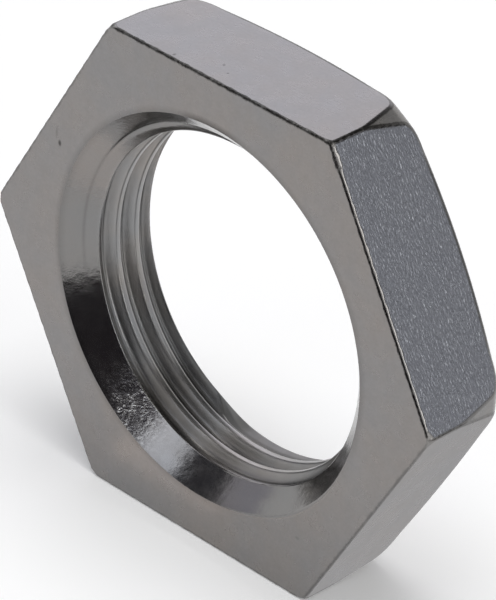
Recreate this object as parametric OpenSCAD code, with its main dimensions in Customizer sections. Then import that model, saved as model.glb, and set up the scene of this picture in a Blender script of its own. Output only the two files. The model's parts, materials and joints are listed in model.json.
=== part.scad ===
// Lock nut: a flat hexagon nut with a fine thread and a wide countersink.
// It stands on one of its six flats, as it was set down, with its bore along Y.
// The countersunk bearing face looks to -Y, the chamfered back face to +Y.
// The origin is on the bore axis, half way through the nut. Millimetres, +Z up.

/* [Hexagon] */
// Width across the flats
across_flats = 30; // [29:0.5:34]
// Height of the nut, measured along its bore
nut_height = 7; // [6.5:0.25:9]

/* [Bore and thread] */
// Nominal diameter of the thread, at its roots
thread_d = 22; // [20:0.5:22.5]
// Height of the thread's ridges, from root to crest
ridge_height = 0.625; // [0.4:0.025:0.9]
// How much wider the bearing face's countersink is than the thread
front_sink_extra = 2.2; // [1.2:0.1:2.6]
// Full angle of the bearing face's countersink
front_sink_angle = 90; // [80:5:100]
// How much wider the back face's countersink is than the thread
back_sink_extra = 2.6; // [1.2:0.1:3]
// Full angle of the back face's countersink
back_sink_angle = 110; // [100:5:130]

/* [Turned front edge] */
// How far in from the six corners the bearing face's chamfer starts
front_turn_in = 0.27; // [0.15:0.01:0.6]
// Angle of that corner chamfer, measured from the face
front_turn_angle = 45; // [30:5:60]

/* [Turned back edge] */
// How far in from the middle of each flat the back face's chamfer starts
back_turn_in = 1.35; // [0.8:0.05:1.6]
// Angle of the back chamfer, measured from the face
back_turn_angle = 15; // [12:1:20]
// Depth below the bearing face at which the corners begin to taper
taper_start = 2.3; // [1.5:0.1:3]
// Angle of the corners' taper, measured from the bore axis
taper_angle = 6.6; // [4:0.2:8]
// Radius that blends the taper into the back chamfer
blend_r = 1.2; // [0.6:0.1:1.6]

/* [Finish] */
// Colour of the bright nickel plating
plating = "#8B8988";

/* [Hidden] */
// More than 12 sides stands for a true circle
round_fn = 96;
// How far cuts run past the faces, and the turned section past the corners
margin = 1;
skin = 0.2;
corner_r = across_flats / 2 / cos(30);
crest_d = thread_d - 2 * ridge_height;
front_z = nut_height / 2;
back_z = -nut_height / 2;
front_sink_d = thread_d + front_sink_extra;
back_sink_d = thread_d + back_sink_extra;
front_sink_depth = (front_sink_d - crest_d) / 2 / tan(front_sink_angle / 2);
back_sink_depth = (back_sink_d - crest_d) / 2 / tan(back_sink_angle / 2);

// The back chamfer and the corner taper are two straight lines of the turned
// section, each given by a point and a slope. They meet at meet_r, meet_z.
ring_r = across_flats / 2 - back_turn_in;
taper_z = front_z - taper_start;
slope_back = tan(back_turn_angle);
slope_taper = tan(taper_angle);
meet_r = (corner_r - slope_taper * (taper_z - back_z) - slope_back * slope_taper * ring_r)
    / (1 - slope_back * slope_taper);
meet_z = back_z + (meet_r - ring_r) * slope_back;
// The blend's arc touches both lines at this distance from where they meet
blend_reach = blend_r * tan((90 - back_turn_angle - taper_angle) / 2);
blend_back = [meet_r - blend_reach * cos(back_turn_angle), meet_z - blend_reach * sin(back_turn_angle)];
blend_side = [meet_r + blend_reach * sin(taper_angle), meet_z + blend_reach * cos(taper_angle)];
blend_centre = blend_back + blend_r * [-sin(back_turn_angle), cos(back_turn_angle)];

// Half section of everything the lathe leaves, with the bore axis on the left
module turned_section() {
    polygon([
        [0, back_z],
        [ring_r, back_z],
        blend_back,
        blend_side,
        [corner_r, taper_z],
        [corner_r + skin, taper_z],
        [corner_r + skin, front_z - (front_turn_in + skin) * tan(front_turn_angle)],
        [corner_r - front_turn_in, front_z],
        [0, front_z]
    ]);
    translate(blend_centre)
        circle(r = blend_r, $fn = round_fn);
}

// Hexagonal bar, cut to length, with its corners turned away front and back
module turned_hexagon() {
    intersection() {
        translate([0, 0, back_z])
            cylinder(h = nut_height, r = corner_r, $fn = 6);
        rotate_extrude($fn = round_fn)
            turned_section();
    }
}

// Cone of a countersink, opening upwards from its small end at the origin
module sink_cone(small_d, large_d, depth) {
    slope = (large_d - small_d) / 2 / depth;
    cylinder(
        h = depth + margin,
        r1 = small_d / 2,
        r2 = large_d / 2 + margin * slope,
        $fn = round_fn
    );
}

// The bore at the thread's crests, opened by a countersink at each face
module bore_and_sinks() {
    translate([0, 0, back_z - margin])
        cylinder(h = nut_height + 2 * margin, d = crest_d, $fn = round_fn);
    translate([0, 0, front_z - front_sink_depth])
        sink_cone(crest_d, front_sink_d, front_sink_depth);
    translate([0, 0, back_z + back_sink_depth])
        mirror([0, 0, 1])
            sink_cone(crest_d, back_sink_d, back_sink_depth);
}

module lock_nut() {
    color(plating)
        rotate([90, 0, 0])
            difference() {
                turned_hexagon();
                bore_and_sinks();
            }
}

lock_nut();
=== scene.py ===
"""Looks of a thin hexagonal lock nut: plated metal, a fine thread and a wide countersink."""

import json
import math

import bmesh
import bpy
import numpy as np
from mathutils import Matrix, Vector


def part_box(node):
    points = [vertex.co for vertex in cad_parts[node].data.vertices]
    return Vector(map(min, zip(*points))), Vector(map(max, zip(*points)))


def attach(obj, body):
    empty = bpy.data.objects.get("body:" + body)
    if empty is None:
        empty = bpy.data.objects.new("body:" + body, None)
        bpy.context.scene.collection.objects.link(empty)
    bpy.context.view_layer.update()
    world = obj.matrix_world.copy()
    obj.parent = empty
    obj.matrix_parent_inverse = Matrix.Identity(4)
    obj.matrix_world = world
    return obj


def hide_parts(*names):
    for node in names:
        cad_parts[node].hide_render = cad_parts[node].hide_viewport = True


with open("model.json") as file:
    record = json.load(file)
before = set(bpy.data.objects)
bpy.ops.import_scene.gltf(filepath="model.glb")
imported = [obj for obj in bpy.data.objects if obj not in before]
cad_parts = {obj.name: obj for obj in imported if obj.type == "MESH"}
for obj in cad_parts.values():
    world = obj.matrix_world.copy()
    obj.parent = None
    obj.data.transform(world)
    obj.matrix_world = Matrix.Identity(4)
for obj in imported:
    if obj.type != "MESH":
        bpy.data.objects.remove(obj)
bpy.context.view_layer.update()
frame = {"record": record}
record = frame["record"]
nut_low, nut_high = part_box("lock_nut")

# Sizes, in millimetres
# The bore runs along Y. Depth is measured along it, from the bearing face at Y = -3.5.
# Angles are in degrees round the bore from +X towards +Z. The corners are at 0, 60, ...
# The hexagon and its height are those of the CAD solid.
FLAT_R = round(nut_high.z * 1000, 2)
CORNER_R = FLAT_R / math.cos(math.radians(30))
HEIGHT = round((nut_high.y - nut_low.y) * 1000, 2)
FRONT_Y = -HEIGHT / 2

# Turned edges: the front chamfer's start, the corners' taper, the back chamfer, the blend
FRONT_TURN_R = CORNER_R - 0.27
TAPER_DEPTH = 2.3
TAPER_ANGLE = 6.6
BACK_RING_R = FLAT_R - 1.35
BACK_ANGLE = 15.0
BLEND_R = 1.2

# Rounding of the corner ridges, and the most that the arcs on the back have
CORNER_ROUND = 0.15
BACK_ROUND = 0.54
# Rounding where the front chamfer and the back ring begin
CHAMFER_ROUND = 0.012
RING_ROUND = 0.03
# Rounding of the bearing face's edge, by the direction of the flat it runs along
EDGE_ROUND = {30: 0.23, 90: 0.17, 150: 0.14, 210: 0.14, 270: 0.14, 330: 0.15}

# Thread, with the radius of its crests from the record's mount
PITCH = 1.5
ROOT_R = 11.0
CREST_R = next(m["dims"]["r_mm"] for m in record["mounts"] if m["name"] == "thread")
CREST_FLAT = 0.40
# Depth of the middle of a crest at 180 degrees
CREST_PHASE = 3.08
# How softly the crests, the roots, the cut in the last ridge and the countersinks blend
CREST_SOFT = 0.07
ROOT_SOFT = 0.13
NICK_SOFT = 0.12
SINK_SOFT = 0.03

# The first groove runs out in the countersink round this angle, and is deeper there
RUN_OUT_AT = 120.0
RUN_OUT_DEEPER = 0.17
# The last ridge is cut away between about these angles, from this depth on
NICK_FROM = 255.0
NICK_TO = 347.0
NICK_DEPTH = 4.8

# Rim of the bearing face's countersink: radius, shift off centre, and where it is soft
RIM_R = 12.05
RIM_OFFSET = 0.09
RIM_BURR = 0.20
RIM_BURR_AT = 310.0
# Countersink of the back face: radius, and half of its angle
BACK_SINK_R = 12.3
BACK_SINK_ANGLE = 55.0

# How coarse the skin of each flat is, from the right flat on round the nut; the same share sets
# its painted shade and painted glints
COARSE_AND_SHADED = (1.0, 0.04, 0.35, 0.7, 0.5, 0.05)
# How dark the painted shade along the edges of each flat is, in the same order
EDGE_SHADE_LEVELS = (1.0, 1.0, 0.5, 0.5, 0.5, 0.35)

# Marks in the bore: painted shade as a line along the run-out and two darker stretches, and the
# scuffed place with painted glints
RUN_OUT_LINE_R = 11.12
RUN_OUT_LINE_AT = 125.0
SHADED_THREAD_AT = 243.0
SHADED_SINK_AT = 92.0
SCUFFED_AT = 234.5

# Marks on the bearing face: the middle of each and how far it reaches
FACE_PIT = ((-12.26, FRONT_Y, 5.76), (0.17, 1.0, 0.26))
FACE_STREAK = ((-12.55, FRONT_Y, 6.35), (0.12, 1.0, 0.55))
FACE_SPOT = ((7.93, FRONT_Y, -11.03), (0.20, 1.0, 0.14))
# Pits in the top flat: place along X and Y, and how far each reaches along them
TOP_PITS = ((-3.83, -3.12, 0.12, 0.16), (-1.2, -1.85, 0.10, 0.12), (-0.4, -2.35, 0.08, 0.10))

# Inner ends of the outer grid on the two faces, and the radius its rays start from
INNER_FRONT_R = 12.9
INNER_BACK_R = 13.0
SECTION_R = 13.2
# Depths between which the bore is one helical strip
STRIP_FRONT = 0.90
STRIP_BACK = 6.42


def rad(degrees):
    """Angle in radians."""
    return np.radians(degrees)


def smooth(x):
    """Eases from 0 to 1 as x goes from 0 to 1."""
    x = np.clip(x, 0.0, 1.0)
    return x * x * (3 - 2 * x)


def turn_from(angle, centre):
    """Signed angle from centre, from -180 to 180 degrees."""
    return (angle - centre + 180.0) % 360.0 - 180.0


def from_flat(angle):
    """Signed angle from the middle of the nearest flat."""
    return angle % 60.0 - 30.0


def blend_max(a, b, soft):
    """Larger of two lengths, rounded where they are about as large."""
    return a + soft * np.logaddexp(0, (b - a) / soft)


def blend_min(a, b, soft):
    """Smaller of two lengths, rounded where they are about as large."""
    return a - soft * np.logaddexp(0, (a - b) / soft)


def waves(angle, seed, periods, size):
    """Small unevenness that closes on itself round the nut."""
    rng = np.random.default_rng(seed)
    total = np.zeros_like(np.asarray(angle, float))
    for n in periods:
        total = total + rng.normal() * np.cos(rad(angle) * n + rng.uniform(0, 2 * math.pi))
    return size * total / math.sqrt(len(periods))


# Outer shape
def round_edge(d1, d2, r):
    """Distance to a convex edge between two faces, rounded where both are nearer than r."""
    a = np.maximum(d1 + r, 0.0)
    b = np.maximum(d2 + r, 0.0)
    return np.hypot(a, b) - r + np.minimum(np.maximum(d1 + r, d2 + r), 0.0)


def back_profile(R, depth):
    """Distance to the turned back profile and how far its normal points outwards."""
    ct, st = math.cos(rad(TAPER_ANGLE)), math.sin(rad(TAPER_ANGLE))
    cb, sb = math.cos(rad(BACK_ANGLE)), math.sin(rad(BACK_ANGLE))
    taper = (R - CORNER_R) * ct + (depth - TAPER_DEPTH) * st
    cone = (R - BACK_RING_R) * sb + (depth - HEIGHT) * cb
    # Centre of the arc that touches both lines
    slopes = np.array([[ct, st], [sb, cb]])
    reaches = np.array([
        CORNER_R * ct + TAPER_DEPTH * st - BLEND_R,
        BACK_RING_R * sb + HEIGHT * cb - BLEND_R,
    ])
    r0, d0 = np.linalg.solve(slopes, reaches)
    qr, qd = R - r0, depth - d0
    in_arc = (qr * st - qd * ct < 0) & (qr * cb - qd * sb > 0)
    length = np.hypot(qr, qd) + 1e-12
    value = np.where(in_arc, length - BLEND_R, np.maximum(taper, cone))
    outward = np.where(in_arc, qr / length, np.where(taper > cone, ct, sb))
    return value, outward


def edge_round(angle):
    """Rounding of the bearing face's edge at this angle, with its raggedness."""
    total = np.zeros_like(np.asarray(angle, float))
    weight = np.zeros_like(total)
    for centre, size in EDGE_ROUND.items():
        w = np.exp(-(turn_from(angle, centre) / 22.0) ** 6) + 1e-6
        total = total + w * size
        weight = weight + w
    ragged = 1.0 + waves(angle, seed=11, periods=(47, 83, 131, 199, 233), size=0.24)
    # The edge is worn wider at the start of the right flat
    wear_and_shade = 0.16 * np.exp(-(turn_from(angle, 57.5) / 2.2) ** 2)
    return total / weight * ragged + wear_and_shade


def outer_distance(angle, R, depth):
    """Below zero inside the hexagon with its turned and rounded edges."""
    off = np.abs(from_flat(angle))
    d1 = R * np.cos(rad(off)) - FLAT_R
    d2 = R * np.cos(rad(60.0 - off)) - FLAT_R
    hexagon = round_edge(d1, d2, CORNER_ROUND)
    # The turning has taken less off the corner at 60 degrees
    less = 0.17 * np.exp(-(turn_from(angle, 60.0) / 8.0) ** 2)
    turned = (R - FRONT_TURN_R - less - depth) / math.sqrt(2)
    front = round_edge(-depth, turned, CHAMFER_ROUND)
    shape = round_edge(hexagon, front, edge_round(angle))
    back, outward = back_profile(R, depth)
    back = round_edge(back, depth - HEIGHT, RING_ROUND)
    r = BACK_ROUND * (1.0 - np.cos(rad(off)) * outward)
    return round_edge(shape, back, r)


def shoot(angle, beta):
    """Where a ray from the middle of the section leaves the nut, by bisection."""
    r0, d0 = SECTION_R, HEIGHT / 2
    lo = np.zeros(np.broadcast(angle, beta).shape)
    hi = lo + HEIGHT
    cb, sb = np.cos(beta), np.sin(beta)
    for _ in range(34):
        mid = (lo + hi) / 2
        inside = outer_distance(angle, r0 + mid * cb, d0 + mid * sb) < 0
        lo = np.where(inside, mid, lo)
        hi = np.where(inside, hi, mid)
    mid = (lo + hi) / 2
    return r0 + mid * cb, d0 + mid * sb


def sector_angles(count):
    """Angles round the nut, closest together at the corners."""
    s = np.linspace(0, 30, 4001)
    density = 1 / np.hypot(s, 0.35) + 0.28
    total = np.concatenate([[0], np.cumsum((density[1:] + density[:-1]) / 2)])
    half = np.interp(np.linspace(0, total[-1], count + 1), total, s)
    one = np.concatenate([half, 60 - half[-2:0:-1]])
    return np.concatenate([one + 60 * k for k in range(6)])


def outer_grid(per_half, rows):
    """Points of the outside, from the bearing face round the edge to the back ring."""
    angle = sector_angles(per_half)[:, None]
    b0 = math.atan2(-HEIGHT / 2, INNER_FRONT_R - SECTION_R)
    b1 = math.atan2(HEIGHT / 2, INNER_BACK_R - SECTION_R)
    fine = np.linspace(b0, b1, 1000)[None, :]
    R, D = shoot(angle, fine)
    step = np.hypot(np.diff(R, axis=1), np.diff(D, axis=1))
    heading = np.unwrap(np.arctan2(np.diff(D, axis=1), np.diff(R, axis=1)), axis=1)
    bend = np.abs(np.diff(heading, axis=1))
    bend = np.concatenate([bend[:, :1], bend], axis=1)
    weight = step / step.sum(1, keepdims=True) + 1.6 * bend / bend.sum(1, keepdims=True)
    total = np.concatenate([np.zeros((len(angle), 1)), np.cumsum(weight, axis=1)], axis=1)
    total /= total[:, -1:]
    want = np.linspace(0, 1, rows)
    beta = np.array([np.interp(want, t, fine[0]) for t in total])
    R, D = shoot(angle, beta)
    return np.broadcast_to(angle, R.shape), R, D


# Bore, countersinks and thread
def rim_radius(angle):
    """The bearing face's countersink, which is a little off centre and soft on one side."""
    soft = np.exp(-(turn_from(angle, RIM_BURR_AT) / 22.0) ** 2)
    return RIM_R + RIM_OFFSET * np.cos(rad(angle - 190.0)) + RIM_BURR * soft


def thread_radius(angle, depth):
    """Radius of the helical thread, with rounded crests and roots."""
    crest = CREST_PHASE - PITCH * (angle - 180.0) / 360.0
    # The first groove is a little wider, and deeper where it runs out in the countersink
    run_out = smooth((70.0 - np.abs(turn_from(angle, RUN_OUT_AT))) / 25.0)
    run_out = run_out * smooth((1.9 - depth) / 0.3)
    depth = depth + (0.16 - 0.08 * run_out) * smooth((2.4 - depth) / 0.9)
    u = np.abs((depth - crest + PITCH / 2) % PITCH - PITCH / 2)
    slope = 1 / math.tan(rad(30))
    flank = CREST_R + (u - CREST_FLAT / 2) * slope
    flank = blend_max(CREST_R, flank, CREST_SOFT)
    fades = smooth((62.0 - np.abs(turn_from(angle, RUN_OUT_AT - 15.0))) / 50.0)
    root = ROOT_R + RUN_OUT_DEEPER * run_out * fades
    return blend_min(root, flank, ROOT_SOFT - 0.10 * run_out)


def nick_share(angle):
    """How far the last ridge is cut away along the turn."""
    begins = smooth((turn_from(angle, NICK_FROM) + 15.0) / 21.0)
    ends = smooth(-turn_from(angle, NICK_TO) / 12.0)
    return begins * ends


def bore_radius(angle, depth):
    """Radius of the open bore: thread, both countersinks and a nick in the last ridge."""
    thread = thread_radius(angle, depth)
    front = rim_radius(angle) - depth
    back = BACK_SINK_R - (HEIGHT - depth) * math.tan(rad(BACK_SINK_ANGLE))
    # The cut is deepest where it starts, and lies inside the open bore elsewhere
    deep = np.clip(1.12 - 0.0115 * turn_from(angle, NICK_FROM), 0.3, 1.12)
    cut = nick_share(angle) * smooth((depth - NICK_DEPTH) / 0.5)
    nick = CREST_R - 0.4 + (0.4 + deep) * cut
    body = blend_max(thread, nick, NICK_SOFT)
    return blend_max(body, np.maximum(front, back), SINK_SOFT)


def bore_normal(angle, depth):
    """Unit normal of the bore's surface, towards the axis: radial, along and round it."""
    e = 1e-3
    R = bore_radius(angle, depth)
    along = (bore_radius(angle, depth + e) - bore_radius(angle, depth - e)) / (2 * e)
    turn = (bore_radius(angle + 0.1, depth) - bore_radius(angle - 0.1, depth)) / rad(0.2)
    n = np.stack([-np.ones_like(R), along, turn / R], -1)
    return n / np.linalg.norm(n, axis=-1, keepdims=True)


def rim_rows(angle, count):
    """Rows from the bearing face over the rounded rim and down to the thread strip."""
    soft = np.exp(-(turn_from(angle, RIM_BURR_AT) / 26.0) ** 2)
    rho = 0.05 + 0.42 * soft
    reach = rho * math.tan(rad(22.5))
    rim = rim_radius(angle)
    flat = np.zeros_like(angle)
    rows = [(flat + INNER_FRONT_R, flat, 0.0), ((INNER_FRONT_R + rim + reach) / 2, flat, 0.0)]
    for t in np.linspace(0, 45, count):
        rows.append((rim + reach - rho * np.sin(rad(t)), rho * (1 - np.cos(rad(t))), t))
    last = rows[-1][1]
    for d in (0.33, 0.67):
        depth = last + (STRIP_FRONT - last) * d
        rows.append((rim - depth, depth, 45.0))
    return rows


def back_rows(angle, count):
    """Rows from the thread strip over the back countersink's rim to the back ring."""
    rho = 0.06
    swing = 90 - BACK_SINK_ANGLE
    reach = rho * math.tan(rad(swing / 2))
    flat = np.zeros_like(angle)
    rows = []
    for t in np.linspace(swing, 0, count):
        rows.append((
            flat + BACK_SINK_R + reach - rho * math.sin(rad(t)),
            flat + HEIGHT - rho * (1 - math.cos(rad(t))),
            t,
        ))
    d = (STRIP_BACK + rows[0][1]) / 2
    rows.insert(0, (BACK_SINK_R - (HEIGHT - d) * math.tan(rad(BACK_SINK_ANGLE)), d, swing))
    rows.append((flat + INNER_BACK_R, flat + HEIGHT, 0.0))
    return rows


# Mesh
class Surface:
    """Collects points, normals and faces given round the bore axis."""

    def __init__(self):
        self.points, self.normals, self.faces, self.kinds = [], [], [], []
        # How far each point of the outside is turned rather than flat
        self.lathe = []
        self.count = 0

    def add(self, angle, R, depth, normal):
        """Adds points and returns their numbers, in the shape of R."""
        a = rad(np.asarray(angle, float))
        c, s = np.cos(a), np.sin(a)
        p = np.stack([R * c, FRONT_Y + depth, R * s], -1)
        # The normal comes as its radial part, its part along the bore and its part round it
        nr, nd, nt = normal[..., 0], normal[..., 1], normal[..., 2]
        n = np.stack([nr * c - nt * s, nd, nr * s + nt * c], -1)
        ids = self.count + np.arange(R.size).reshape(R.shape)
        self.points.append(p.reshape(-1, 3))
        self.normals.append(n.reshape(-1, 3))
        self.count += R.size
        return ids

    def ring_faces(self, ids, kind):
        """Quads of a grid that closes round the nut, rows along the second axis."""
        a, b = ids[:, :-1], ids[:, 1:]
        c, d = np.roll(b, -1, axis=0), np.roll(a, -1, axis=0)
        quads = np.stack([a, b, c, d], -1).reshape(-1, 4)
        self.faces.extend(map(tuple, quads.tolist()))
        self.kinds.extend([kind] * len(quads) if isinstance(kind, int) else kind.ravel().tolist())

    def stitch(self, ids1, angle1, ids2, angle2, kind):
        """Triangles between two rings of different counts, both sorted by angle."""
        i = j = 0
        n, m = len(ids1), len(ids2)
        a1 = np.concatenate([angle1, angle1[:1] + 360])
        a2 = np.concatenate([angle2, angle2[:1] + 360])
        while i < n or j < m:
            if j == m or (i < n and a1[i + 1] <= a2[j + 1]):
                self.faces.append((int(ids1[i]), int(ids1[(i + 1) % n]), int(ids2[j % m])))
                i += 1
            else:
                self.faces.append((int(ids1[i % n]), int(ids2[(j + 1) % m]), int(ids2[j])))
                j += 1
            self.kinds.append(kind)


# Material of a mesh face: the nut's two faces, its outside and its bore
FACE, FLAT, TURNED = 0, 1, 2


def outer_normals(angle, R, depth):
    """Gradient of the outer distance: radial, along and round the axis."""
    e = 2e-4
    turn = np.degrees(e / R)
    dr = outer_distance(angle, R + e, depth) - outer_distance(angle, R - e, depth)
    dd = outer_distance(angle, R, depth + e) - outer_distance(angle, R, depth - e)
    dt = outer_distance(angle + turn, R, depth) - outer_distance(angle - turn, R, depth)
    n = np.stack([dr, dd, dt], -1)
    return n / np.linalg.norm(n, axis=-1, keepdims=True)


def add_outside(surface):
    """Flats, corners and turned edges, up to the inner ends of the grid on both faces."""
    angle, R, D = outer_grid(per_half=40, rows=72)
    normal = outer_normals(angle, R, D)
    ids = surface.add(angle, R, D, normal)
    off = from_flat(angle)
    flatness = normal[..., 0] * np.cos(rad(off)) - normal[..., 2] * np.sin(rad(off))
    surface.lathe = smooth((0.995 - flatness) / 0.03).ravel().tolist()
    kind = np.where(np.abs(normal[..., 1]) > 0.985, FACE, FLAT)
    surface.ring_faces(ids, kind[:, :-1])
    return ids, angle[:, 0]


def strip_mesh():
    """The bore between its two countersinks as one helical strip, cut square at both ends."""
    turns, per_pitch = 360, 30
    step = PITCH / per_pitch
    start = CREST_PHASE + PITCH / 2
    first = math.ceil((STRIP_FRONT - 0.1 - start) / step)
    last = math.floor((STRIP_BACK + PITCH + 0.1 - start) / step)
    angle = np.arange(turns)[:, None] * 360.0 / turns
    depth = start + np.arange(first, last + 1)[None, :] * step - PITCH * angle / 360.0
    width = depth.shape[1]
    ids = np.arange(depth.size).reshape(depth.shape)
    angle = np.broadcast_to(angle, depth.shape)
    R = bore_radius(angle, depth)
    faces = [ids[:-1, :-1], ids[:-1, 1:], ids[1:, 1:], ids[1:, :-1]]
    faces = np.stack(faces, -1).reshape(-1, 4)
    # After a full turn the strip meets itself, shifted by one pitch
    last_row, first_row = ids[-1, per_pitch:], ids[0, :width - per_pitch]
    seam = [last_row[:-1], last_row[1:], first_row[1:], first_row[:-1]]
    faces = np.concatenate([faces, np.stack(seam, -1)])
    a = rad(angle)
    xyz = np.stack([R * np.cos(a), depth, R * np.sin(a)], -1).reshape(-1, 3)
    mesh = bpy.data.meshes.new("strip")
    mesh.from_pydata(xyz.tolist(), [], faces.tolist())
    bm = bmesh.new()
    bm.from_mesh(mesh)
    bpy.data.meshes.remove(mesh)
    for depth_cut, way in ((STRIP_FRONT, -1), (STRIP_BACK, 1)):
        bmesh.ops.bisect_plane(
            bm, geom=bm.verts[:] + bm.edges[:] + bm.faces[:], dist=1e-6,
            plane_co=(0, depth_cut, 0), plane_no=(0, way, 0), clear_outer=True,
        )
    bm.verts.index_update()
    co = np.array([v.co for v in bm.verts], float)
    polys = [tuple(v.index for v in f.verts) for f in bm.faces]
    bm.free()
    return co, polys


def add_bore(surface):
    """Bearing face's rim, countersink, thread, back countersink and rim as one surface."""
    co, polys = strip_mesh()
    angle = np.degrees(np.arctan2(co[:, 2], co[:, 0])) % 360.0
    depth = co[:, 1]
    R = bore_radius(angle, depth)
    ids = surface.add(angle, R, depth, bore_normal(angle, depth))
    surface.faces.extend(tuple(int(ids[i]) for i in p) for p in polys)
    surface.kinds.extend([TURNED] * len(polys))
    ends = []
    for cut, rows_of, way in ((STRIP_FRONT, rim_rows, -1), (STRIP_BACK, back_rows, 1)):
        edge = np.where(np.abs(depth - cut) < 1e-4)[0]
        edge = edge[np.argsort(angle[edge])]
        edge_angle = angle[edge]
        rows = rows_of(edge_angle, 6)
        R2 = np.stack([r[0] for r in rows], 1)
        D2 = np.stack([r[1] for r in rows], 1)
        tilt = rad(np.array([r[2] for r in rows]))[None, :] + 0 * R2
        normal = np.stack([-np.sin(tilt), way * np.cos(tilt), 0 * tilt], -1)
        grid = surface.add(edge_angle[:, None] + 0 * R2, R2, D2, normal)
        if way < 0:
            # The first three rows of quads belong to the bearing face
            grid = np.concatenate([grid, ids[edge][:, None]], 1)
            outer_end = grid[:, 0]
            kind = np.where(np.arange(grid.shape[1] - 1) < 3, FACE, TURNED)
        else:
            # The last two rows of quads belong to the back face
            grid = np.concatenate([ids[edge][:, None], grid], 1)
            outer_end = grid[:, -1]
            kind = np.where(np.arange(grid.shape[1] - 1) > 5, FACE, TURNED)
        surface.ring_faces(grid, np.broadcast_to(kind, (len(edge), len(kind))))
        ends.append((outer_end, edge_angle))
    return ends


def build_nut():
    """The whole nut as one closed mesh with its own normals."""
    surface = Surface()
    outside, outside_angle = add_outside(surface)
    (front, front_angle), (back, back_angle) = add_bore(surface)
    surface.stitch(front, front_angle, outside[:, 0], outside_angle, FACE)
    surface.stitch(outside[:, -1], outside_angle, back, back_angle, FACE)
    points = np.concatenate(surface.points) / 1000.0
    normals = np.concatenate(surface.normals)
    mesh = bpy.data.meshes.new("lock_nut_detail")
    mesh.from_pydata(points.tolist(), [], surface.faces)
    mesh.validate()
    mesh.polygons.foreach_set("material_index", surface.kinds)
    mesh.polygons.foreach_set("use_smooth", [True] * len(mesh.polygons))
    # Faces look the way their normals do
    bm = bmesh.new()
    bm.from_mesh(mesh)
    wrong = []
    for f in bm.faces:
        n = Vector(normals[[v.index for v in f.verts]].mean(0))
        if f.normal.dot(n) < 0:
            wrong.append(f)
    bmesh.ops.reverse_faces(bm, faces=wrong)
    bm.to_mesh(mesh)
    bm.free()
    mesh.normals_split_custom_set_from_vertices(normals.tolist())
    add_marks(mesh, points * 1000.0, normals)
    lathe = np.ones(len(points), np.float32)
    lathe[:len(surface.lathe)] = surface.lathe
    store(mesh, "lathe", lathe)
    nut = bpy.data.objects.new("lock_nut_detail", mesh)
    bpy.context.scene.collection.objects.link(nut)
    return nut


def store(mesh, name, values):
    """Keeps a number or a vector for each point of the mesh."""
    kind, field = ("FLOAT", "value") if values.ndim == 1 else ("FLOAT_VECTOR", "vector")
    attribute = mesh.attributes.new(name, kind, "POINT")
    attribute.data.foreach_set(field, values.astype(np.float32).ravel())


def add_marks(mesh, p, n):
    """Stores what the materials have to know at each point, with lengths in millimetres."""
    angle = np.degrees(np.arctan2(p[:, 2], p[:, 0])) % 360.0
    R = np.hypot(p[:, 0], p[:, 2])
    depth = p[:, 1] - FRONT_Y
    add_bore_marks(mesh, angle, R, depth, n[:, 1])
    add_flat_marks(mesh, angle, R, depth)


def add_bore_marks(mesh, angle, R, depth, along):
    """Painted shade in the grooves and dark lines, thread, cut ridge, painted highlight on the
    back flanks, and scuffs with painted glints, from 0 to 1.
    """
    threaded = smooth((depth - 1.5) / 0.25) * smooth((5.9 - depth) / 0.25) * (R < 11.5)
    # Painted shade in the thread's grooves, darkest at the roots
    groove_shade = np.clip((R - CREST_R) / (ROOT_R - CREST_R), 0, 1) * threaded
    # Painted shade: dark lines on the countersink's rim and along the run-out, and two darker
    # stretches
    rim = np.exp(-((R - rim_radius(angle)) / 0.07) ** 2) * (depth < 0.3)
    run_out = np.exp(-((R - RUN_OUT_LINE_R) / 0.06) ** 2)
    run_out = run_out * smooth((80.0 - np.abs(turn_from(angle, RUN_OUT_LINE_AT))) / 30.0)
    shaded_stretch = 1.2 * threaded * np.exp(-(turn_from(angle, SHADED_THREAD_AT) / 13.0) ** 4)
    shaded_sink = np.exp(-(turn_from(angle, SHADED_SINK_AT) / 10.0) ** 4)
    shaded_stretch = shaded_stretch + 0.75 * shaded_sink * (depth < 1.5) * (R < 12.2)
    store(mesh, "groove_shade", groove_shade + 0.45 * rim + 0.7 * run_out * (depth < 1.3) + shaded_stretch)
    store(mesh, "threaded", threaded)
    nicked = smooth((depth - NICK_DEPTH - 0.1) / 0.3) * smooth((6.6 - depth) / 0.3) * (R < 11.7)
    store(mesh, "nicked", nicked * nick_share(angle))
    # Painted highlight on the thread's back flanks
    store(mesh, "flank_highlight", threaded * smooth((along - 0.1) / 0.5))
    # The scuffed place, with real bumps and painted glints
    scuff_and_glint = np.exp(-(turn_from(angle, SCUFFED_AT) / 8.5) ** 2) * smooth((1.7 - depth) / 0.3)
    store(mesh, "scuff_and_glint", scuff_and_glint * (R < 12.1))


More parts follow.
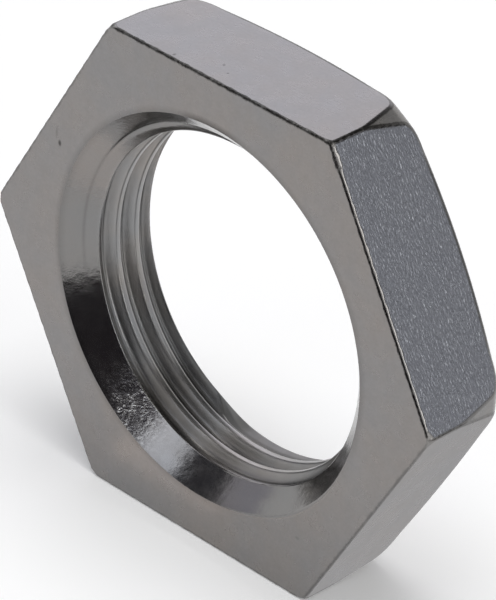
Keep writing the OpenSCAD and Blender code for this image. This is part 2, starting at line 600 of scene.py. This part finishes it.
def add_flat_marks(mesh, angle, R, depth):
    """Place on the flat, its coarseness with its painted shade, the strength of its painted edge
    shade, and how near its edges each point is.
    """
    off = from_flat(angle)
    sector = np.floor(angle / 60.0)
    which = sector.astype(int) % 6
    # Each flat has its own stretch of the third direction, so that no two look the same
    lay = np.stack([R * np.sin(rad(off)), FRONT_Y + depth, sector * 7.3], -1)
    store(mesh, "coarse_and_shaded", np.array(COARSE_AND_SHADED)[which])
    off = np.abs(off)
    beside = FLAT_R - R * np.cos(rad(off))
    store(mesh, "ridge", FLAT_R - R * np.cos(rad(60.0 - off)))
    store(mesh, "edge_shade_level", np.array(EDGE_SHADE_LEVELS)[which])
    back, outward = back_profile(R, depth)
    together = np.cos(rad(off)) * outward
    reach = np.maximum(beside, -back / np.sqrt(1.0 - together ** 2))
    reach = reach - 0.7 * BACK_ROUND * (1.0 - together)
    # Towards the corners the painted dark line along the arcs gets thinner, and fainter at the
    # back
    at_corner = smooth((off - 16.0) / 8.0)
    reach = reach * (1.0 + 0.8 * at_corner)
    arc_shade = 0.4 + 0.6 * smooth((60.0 - np.abs(turn_from(angle, 64.0))) / 14.0)
    store(mesh, "arc_shade", arc_shade * (1.0 - 0.4 * at_corner * smooth((depth - 3.6) / 2.4)))
    store(mesh, "edges", np.stack([beside, depth, reach], -1))
    store(mesh, "lay", lay)


# Materials
# Linear colours: the record's plating, the dark of real marks and of painted shade, painted
# glints on the pebbles, a painted highlight on the back flanks of the thread, and painted glints
# in the scuffs
NICKEL = (*record["materials"][0]["base_color"], 1)
SHADE_AND_WEAR = (0.02, 0.018, 0.016, 1)
PEBBLE_GLINT = (0.55, 0.57, 0.60, 1)
FLANK_HIGHLIGHT = (0.47, 0.46, 0.45, 1)
SCUFF_GLINT = (0.80, 0.79, 0.76, 1)
# How much the floor glows by itself where it is looked at
FLOOR_LIFT = 0.18


class Graph:
    """Short calls that add and join shader nodes."""

    def __init__(self, tree):
        self.nodes, self.links = tree.nodes, tree.links

    def put(self, socket, value):
        """Joins the socket to another socket, or sets it to a plain value."""
        if hasattr(value, "is_output"):
            self.links.new(value, socket)
        else:
            socket.default_value = value

    def node(self, kind, inputs=None, out=0, **settings):
        """Adds a shader node and returns one of its outputs."""
        n = self.nodes.new("ShaderNode" + kind)
        for key, value in settings.items():
            setattr(n, key, value)
        for key, value in (inputs or {}).items():
            self.put(n.inputs[key], value)
        return n.outputs[out]

    def stored(self, name, out=2):
        """Number kept for each point of the mesh, or a vector where out is 1."""
        return self.node("Attribute", out=out, attribute_name=name)

    def split(self, vector):
        """Three parts of a vector."""
        n = self.nodes.new("ShaderNodeSeparateXYZ")
        self.put(n.inputs[0], vector)
        return n.outputs

    def math(self, operation, a, b=0.0, clamp=False):
        """Result of one operation, kept from 0 to 1 where clamp is set."""
        return self.node("Math", {0: a, 1: b}, operation=operation, use_clamp=clamp)

    def noise(self, vector, scale, detail=2.0, rough=0.5):
        """Noise from 0 to 1, with that many spots to the millimetre."""
        inputs = {"Vector": vector, "Scale": scale, "Detail": detail, "Roughness": rough}
        return self.node("TexNoise", inputs)

    def span(self, value, low, high, to_low, to_high):
        """Value that goes from to_low to to_high as the first goes from low to high."""
        return self.node("MapRange", {0: value, 1: low, 2: high, 3: to_low, 4: to_high})

    def stretch(self, vector, scale):
        """Vector times a scale along each axis."""
        return self.node("Mapping", {"Vector": vector, "Scale": scale})

    def bump(self, height, distance):
        """Normal of a surface that is raised by height times distance, in metres."""
        return self.node("Bump", {"Height": height, "Distance": distance, "Strength": 1.0})


def new_material(name):
    """Material with one plain shader, and short calls for its other nodes."""
    material = bpy.data.materials.new(name)
    material.use_nodes = True
    g = Graph(material.node_tree)
    g.nodes.clear()
    out = g.nodes.new("ShaderNodeOutputMaterial")
    shader = g.nodes.new("ShaderNodeBsdfPrincipled")
    g.links.new(shader.outputs[0], out.inputs[0])
    return material, g, shader


def mix(g, share, first, second):
    """Colour that goes from the first to the second as the share goes from 0 to 1."""
    return g.node("Mix", {0: share, 6: first, 7: second}, out=2, data_type="RGBA")


def nickel_tone(g, vector, amount, level=1.0, tint=(1.0, 1.0, 1.0)):
    """Slow, faint drift of the plating's colour between warm and cool."""
    plain = [level * c * k for c, k in zip(NICKEL[:3], tint)]
    drift = g.noise(vector, 0.22, 3.0, 0.6)
    t = g.span(drift, 0.35, 0.65, 0.0, 1.0)
    warm = tuple(c * k for c, k in zip(plain, (1 + amount, 1.0, 1 - amount))) + (1,)
    cool = tuple(c * k for c, k in zip(plain, (1 - amount, 1.0, 1 + amount))) + (1,)
    return mix(g, t, warm, cool)


def darken(g, colour, amount):
    """Colour darkened by that share, for real marks and for painted shade alike."""
    return mix(g, amount, colour, SHADE_AND_WEAR)


def millimetres(g):
    """Object coordinates in millimetres."""
    place = g.node("TexCoord", out=3)
    return g.stretch(place, (1000.0, 1000.0, 1000.0))


def mark(g, place, centre, size):
    """1 in the middle of a small mark and 0 outside it; centre and size in millimetres."""
    offset = g.node("VectorMath", {0: place, 1: centre}, operation="SUBTRACT")
    offset = g.node("VectorMath", {0: offset, 1: size}, operation="DIVIDE")
    distance = g.node("VectorMath", {0: offset}, out=1, operation="LENGTH")
    return g.span(distance, 0.35, 1.0, 1.0, 0.0)


def edge_shade(g, place, front_reach, back_reach):
    """Share of painted shade along the front edge, the back arcs and the corner ridges."""
    beside, depth, back = g.split(g.stored("edges", out=1))
    ridge = g.stored("ridge")
    edge_shade_level = g.stored("edge_shade_level")
    ragged = g.span(g.noise(place, 2.4, 5.0, 0.75), 0.3, 0.7, -0.08, 0.08)
    steep = g.math("MULTIPLY", depth, 2.0)
    corner = g.math("MAXIMUM", ridge, depth)
    total = 0.0
    # Front edge, corner ridge, and the corner where they meet
    for across, reach in ((steep, front_reach), (ridge, 0.15), (corner, 0.26)):
        near = g.math("ADD", g.math("MAXIMUM", beside, across), ragged)
        total = g.math("MAXIMUM", total, g.span(near, 0.35 * reach, reach, 1.0, 0.0))
    total = g.math("MULTIPLY", total, edge_shade_level)
    arcs = g.math("ADD", back, g.math("MULTIPLY", ragged, 0.45))
    arcs = g.span(arcs, 0.35 * back_reach, back_reach, 1.0, 0.0)
    arc_shade = g.stored("arc_shade")
    return g.math("MAXIMUM", total, g.math("MULTIPLY", arcs, arc_shade))


def face_material():
    """Bearing and back face: fine satin with faint mottling."""
    material, g, shader = new_material("nickel_face")
    place = millimetres(g)
    shader.inputs["Metallic"].default_value = 1.0
    # Painted shade along the countersink's rim, and a faint unevenness of the plating
    groove_shade = g.stored("groove_shade")
    uneven = g.span(g.noise(place, 1.6, 6.0, 0.75), 0.35, 0.65, 0.0, 0.07)
    uneven = g.math("ADD", uneven, g.span(g.noise(place, 6.0, 3.0, 0.6), 0.35, 0.65, 0.0, 0.05))
    tone = nickel_tone(g, place, amount=0.024, level=1.02, tint=(1.015, 0.988, 0.98))
    tone = darken(g, tone, g.math("ADD", uneven, g.math("MULTIPLY", groove_shade, 0.5)))
    # Painted shade: dark lines along the edges, the corner ridges and the back arcs
    wear_and_shade = edge_shade(g, place, front_reach=0.20, back_reach=0.02)
    tone = darken(g, tone, g.math("MULTIPLY", wear_and_shade, 0.88))
    # A pit with a faint streak above it, and a faint spot near the lower corner
    pit = mark(g, place, *FACE_PIT)
    streak = mark(g, place, *FACE_STREAK)
    spot = mark(g, place, *FACE_SPOT)
    tone = darken(g, tone, g.math("MULTIPLY", pit, 0.75))
    tone = darken(g, tone, g.math("MULTIPLY", g.math("MAXIMUM", streak, spot), 0.22))
    g.put(shader.inputs["Base Color"], tone)
    cloud = g.noise(place, 0.9, 4.0, 0.6)
    g.put(shader.inputs["Roughness"], g.span(cloud, 0.3, 0.7, 0.26, 0.31))
    grain = g.noise(place, 7.0, 3.0, 0.6)
    grain = g.math("SUBTRACT", grain, g.math("MULTIPLY", pit, 6.0))
    g.put(shader.inputs["Normal"], g.bump(grain, 0.000005))
    return material


def flat_material():
    """Hexagon's flats and turned corners: fine satin, and on some flats a pebbled skin."""
    material, g, shader = new_material("nickel_flat")
    lay = g.stored("lay", out=1)
    lathe = g.stored("lathe")
    coarse_and_shaded = g.stored("coarse_and_shaded")
    place = millimetres(g)
    flat = g.math("SUBTRACT", 1.0, lathe)
    amount = g.math("MULTIPLY", coarse_and_shaded, flat)
    shader.inputs["Metallic"].default_value = 1.0
    # Short painted glints and small dark specks of the pebbled skin
    strokes = g.noise(g.stretch(lay, (2.8, 8.5, 1.0)), 1.0, 1.5, 0.5)
    bright = g.math("MULTIPLY", g.span(strokes, 0.64, 0.74, 0.0, 0.55), amount)
    specks = g.noise(lay, 5.5, 2.0, 0.6)
    dark = g.math("MULTIPLY", g.span(specks, 0.5, 0.32, 0.0, 0.28), amount)
    dark = g.math("ADD", dark, g.span(specks, 0.35, 0.65, 0.0, 0.05))
    # Painted shade as a thin dark line along the arcs, where the turned edge meets the flat. The
    # turned parts are a little darker as well.
    crease_shade = g.math("MULTIPLY", g.math("MULTIPLY", lathe, flat), 1.3)
    plain = nickel_tone(g, place, amount=0.02)
    # Painted shade: the coarse flats take a darker, bluer copy of the plating
    deep = tuple(c * k for c, k in zip(NICKEL[:3], (0.69, 0.73, 0.82))) + (1,)
    tone = mix(g, amount, plain, deep)
    tone = darken(g, tone, g.math("ADD", dark, crease_shade, True))
    tone = darken(g, tone, g.math("MULTIPLY", lathe, 0.10))
    tone = mix(g, bright, tone, PEBBLE_GLINT)
    # Painted shade: dark lines along the edges, the corner ridges and the back arcs
    wear_and_shade = edge_shade(g, place, front_reach=0.20, back_reach=0.10)
    tone = darken(g, tone, g.math("MULTIPLY", wear_and_shade, 0.88))
    # Small pits in the top flat
    pits = 0.0
    for x, y, across, along in TOP_PITS:
        pit = mark(g, place, (x, y, FLAT_R), (across, along, 1.0))
        pits = g.math("MAXIMUM", pits, pit)
    tone = darken(g, tone, g.math("MULTIPLY", pits, 0.55))
    g.put(shader.inputs["Base Color"], tone)
    cloud = g.noise(lay, 0.8, 3.0, 0.6)
    g.put(shader.inputs["Roughness"], g.span(cloud, 0.3, 0.7, 0.26, 0.30))
    pebble = g.noise(g.stretch(lay, (1.0, 1.5, 1.0)), 4.2, 3.0, 0.6)
    height = g.math("ADD", pebble, g.math("MULTIPLY", strokes, 0.9))
    height = g.math("MULTIPLY", height, g.math("ADD", g.math("MULTIPLY", amount, 0.95), 0.05))
    g.put(shader.inputs["Normal"], g.bump(height, 0.000060))
    return material


def turned_material():
    """Countersinks and thread: bright, with fine rings from the tool and one scuffed place."""
    material, g, shader = new_material("nickel_turned")
    place = millimetres(g)
    x, y, z = g.split(place)
    squares = g.math("ADD", g.math("POWER", x, 2.0), g.math("POWER", z, 2.0))
    rings = g.node("CombineXYZ", {0: g.math("SQRT", squares), 1: y, 2: 0.0})
    groove_shade = g.stored("groove_shade")
    threaded = g.stored("threaded")
    flank = g.stored("flank_highlight")
    nicked = g.stored("nicked")
    scuff_and_glint = g.stored("scuff_and_glint")
    shader.inputs["Metallic"].default_value = 1.0
    # Painted light: the countersink takes a darker copy of the plating, and the thread a lighter
    # one
    sink = nickel_tone(g, place, amount=0.015, level=0.88)
    thread = nickel_tone(g, place, amount=0.03, level=1.16)
    tone = mix(g, threaded, sink, thread)
    # Painted shade in the grooves, along the rim and run-out lines, and in two darker stretches
    tone = darken(g, tone, g.math("MULTIPLY", groove_shade, 0.33))
    # Painted highlight on the thread's back flanks
    tone = mix(g, flank, tone, FLANK_HIGHLIGHT)
    # Specks where the tool has dragged: painted glints in their colour, and real bumps
    specks = g.noise(g.stretch(place, (4.5, 4.5, 8.0)), 1.0, 2.0, 0.6)
    spread = g.noise(place, 1.5, 2.0, 0.5)
    mask = g.math("MULTIPLY", scuff_and_glint, g.span(spread, 0.40, 0.56, 0.6, 1.0))
    bright = g.math("MULTIPLY", g.span(specks, 0.46, 0.62, 0.0, 1.0), mask)
    tone = mix(g, bright, tone, SCUFF_GLINT)
    g.put(shader.inputs["Base Color"], tone)
    cloud = g.noise(place, 1.4, 3.0, 0.6)
    roughness = g.span(cloud, 0.3, 0.7, 0.13, 0.20)
    roughness = g.math("ADD", roughness, g.math("MULTIPLY", threaded, 0.15))
    g.put(shader.inputs["Roughness"], g.math("ADD", roughness, g.math("MULTIPLY", nicked, 0.35)))
    turned = g.noise(rings, 11.0, 2.0, 0.6)
    uneven = g.noise(place, 2.2, 3.0, 0.6)
    height = g.math("ADD", g.math("MULTIPLY", turned, 0.12), uneven)
    height = g.math("ADD", height, g.math("MULTIPLY", mask, g.math("MULTIPLY", specks, 3.0)))
    g.put(shader.inputs["Normal"], g.bump(height, 0.000010))
    return material


def seen_rays(g):
    """1 where the ray comes from the camera or by way of metal or glass."""
    rays = g.nodes.new("ShaderNodeLightPath")
    names = ("Is Camera Ray", "Is Glossy Ray", "Is Transmission Ray")
    camera, glossy, through = (rays.outputs[name] for name in names)
    return g.math("ADD", g.math("ADD", camera, glossy, True), through, True)


def floor_material():
    """Pale floor that keeps the nut's shadow."""
    material, g, shader = new_material("pale_floor")
    shader.inputs["Base Color"].default_value = (0.86, 0.86, 0.86, 1)
    shader.inputs["Specular IOR Level"].default_value = 0.0
    shader.inputs["Roughness"].default_value = 0.8
    shader.inputs["Emission Color"].default_value = (1.0, 1.0, 1.0, 1)
    g.put(shader.inputs["Emission Strength"], g.span(seen_rays(g), 0.0, 1.0, 0.0, FLOOR_LIFT))
    return material


# Studio
# Camera that fits the photo: its place in metres, its three axes and its lens
CAMERA_AT = (0.187795, -0.197681, 0.167424)
CAMERA_RIGHT = (0.704337, 0.708409, 0.045455)
CAMERA_UP = (-0.399386, 0.342523, 0.850393)
CAMERA_BACK = (0.586856, -0.617118, 0.524180)
CAMERA_LENS = 339.658


def make_camera():
    """Camera at the photo's viewing angle."""
    data = bpy.data.cameras.new("camera")
    data.sensor_width = 36.0
    data.lens = CAMERA_LENS
    data.clip_start, data.clip_end = 0.01, 20.0
    camera = bpy.data.objects.new("camera", data)
    turn = Matrix((CAMERA_RIGHT, CAMERA_UP, CAMERA_BACK)).transposed().to_4x4()
    camera.matrix_world = Matrix.Translation(CAMERA_AT) @ turn
    bpy.context.scene.collection.objects.link(camera)
    bpy.context.scene.camera = camera


def direction(azimuth, elevation):
    """Azimuth 0 is in front of the bearing face and 90 is to its right."""
    a, e = math.radians(azimuth), math.radians(elevation)
    return Vector((math.sin(a) * math.cos(e), -math.cos(a) * math.cos(e), math.sin(e)))


def soft_lamp(name, azimuth, elevation, distance, size, strength, colour=(1, 1, 1)):
    """Area lamp of that radiance, turned to the nut."""
    data = bpy.data.lights.new(name, "AREA")
    data.shape = "RECTANGLE"
    data.size, data.size_y = size
    data.energy = strength * size[0] * size[1] * math.pi
    data.color = colour
    lamp = bpy.data.objects.new(name, data)
    way = direction(azimuth, elevation)
    lamp.location = way * distance
    lamp.rotation_mode = "QUATERNION"
    lamp.rotation_quaternion = way.to_track_quat("Z", "Y")
    lamp.visible_camera = False
    bpy.context.scene.collection.objects.link(lamp)


def card(name, place, facing, size, radiance):
    """Studio card of that radiance, which only shows in reflections."""
    mesh = bpy.data.meshes.new(name)
    w, h = size[0] / 2, size[1] / 2
    mesh.from_pydata([(-w, -h, 0), (w, -h, 0), (w, h, 0), (-w, h, 0)], [], [(0, 1, 2, 3)])
    board = bpy.data.objects.new(name, mesh)
    board.location = place
    board.rotation_mode = "QUATERNION"
    board.rotation_quaternion = facing.to_track_quat("Z", "Y")
    material, _, shader = new_material(name)
    shader.inputs["Base Color"].default_value = (0.0, 0.0, 0.0, 1)
    shader.inputs["Specular IOR Level"].default_value = 0.0
    shader.inputs["Emission Color"].default_value = (*radiance, 1)
    shader.inputs["Emission Strength"].default_value = 1.0
    mesh.materials.append(material)
    board.visible_camera = False
    board.visible_shadow = False
    board.visible_diffuse = False
    bpy.context.scene.collection.objects.link(board)


def flag(name, azimuth, elevation, distance, size, radiance=(0.003, 0.003, 0.003)):
    """Card that faces the nut from that side."""
    way = direction(azimuth, elevation)
    card(name, way * distance, way, size, radiance)


def make_floor():
    """Wide floor under the flat that the nut stands on."""
    mesh = bpy.data.meshes.new("floor")
    w = 3.0
    mesh.from_pydata([(-w, -w, 0), (w, -w, 0), (w, w, 0), (-w, w, 0)], [], [(0, 1, 2, 3)])
    mesh.materials.append(floor_material())
    floor = bpy.data.objects.new("floor", mesh)
    floor.location = (0, 0, -FLAT_R / 1000.0)
    bpy.context.scene.collection.objects.link(floor)


def make_world(lit, seen):
    """Pale surroundings: how strongly they light things, and how bright they look."""
    world = bpy.data.worlds.new("studio")
    world.use_nodes = True
    g = Graph(world.node_tree)
    back = world.node_tree.nodes["Background"]
    back.inputs[0].default_value = (1.0, 1.0, 1.0, 1)
    g.put(back.inputs[1], g.span(seen_rays(g), 0.0, 1.0, lit, seen))
    bpy.context.scene.world = world


def make_studio():
    """Floor, pale surroundings, soft lamps, and cards for the nut's reflections."""
    make_floor()
    make_world(lit=0.35, seen=0.95)
    # Name, azimuth, elevation, distance in metres, size in metres, radiance
    soft_lamp("overhead", 0, 90, 0.80, (0.60, 0.60), 3.5)
    soft_lamp("back_left", -136, 27, 0.60, (0.54, 0.26), 0.74, (0.87, 0.83, 1.0))
    soft_lamp("front_top", -12, 45, 0.60, (0.30, 0.16), 0.85, (0.76, 0.83, 1.0))
    soft_lamp("right", 82, 21, 0.60, (0.14, 0.40), 3.6)
    flag("camera_side", 26, 6.2, 0.055, (0.056, 0.042), (0.040, 0.036, 0.040))
    flag("camera_top", 14, 38, 0.30, (0.13, 0.09), (0.085, 0.083, 0.10))
    flag("front_left", -36, 10, 0.40, (0.12, 0.18))
    flag("front_left_top", -44, 40, 0.40, (0.16, 0.16), (0.05, 0.05, 0.06))
    flag("left_top", -80, 54, 0.40, (0.20, 0.14))
    flag("left", -66, 23, 0.50, (0.16, 0.16), (0.62, 0.61, 0.68))
    flag("back_top", 172, 51, 0.40, (0.36, 0.18), (0.02, 0.02, 0.02))
    flag("back_left_top", -136, 53, 0.40, (0.24, 0.15), (0.10, 0.10, 0.11))
    flag("front_right_top", 55, 52, 0.40, (0.22, 0.16), (0.05, 0.05, 0.05))
    flag("top", 100, 84, 0.40, (0.40, 0.34), (0.05, 0.05, 0.05))
    flag("back_right_top", 138, 31, 0.45, (0.12, 0.09), (0.30, 0.30, 0.32))
    flag("back_right", 128, 12, 0.50, (0.30, 0.22), (0.66, 0.66, 0.70))
    # Two bright cards lie just above the floor, facing up
    up = Vector((0, 0, 1))
    card("low_front", (-0.0055, -0.0095, -0.0149), up, (0.009, 0.007), (1.12, 1.06, 1.03))
    card("low_right", (0.0145, 0.009, -0.0149), up, (0.0115, 0.026), (0.74, 0.73, 0.74))


def main():
    """Builds the nut and its studio."""
    scene = bpy.context.scene
    scene.view_settings.view_transform = "Standard"
    nut = build_nut()
    for material in (face_material(), flat_material(), turned_material()):
        nut.data.materials.append(material)
    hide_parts("lock_nut")
    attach(nut, "root")
    make_studio()
    make_camera()


main()
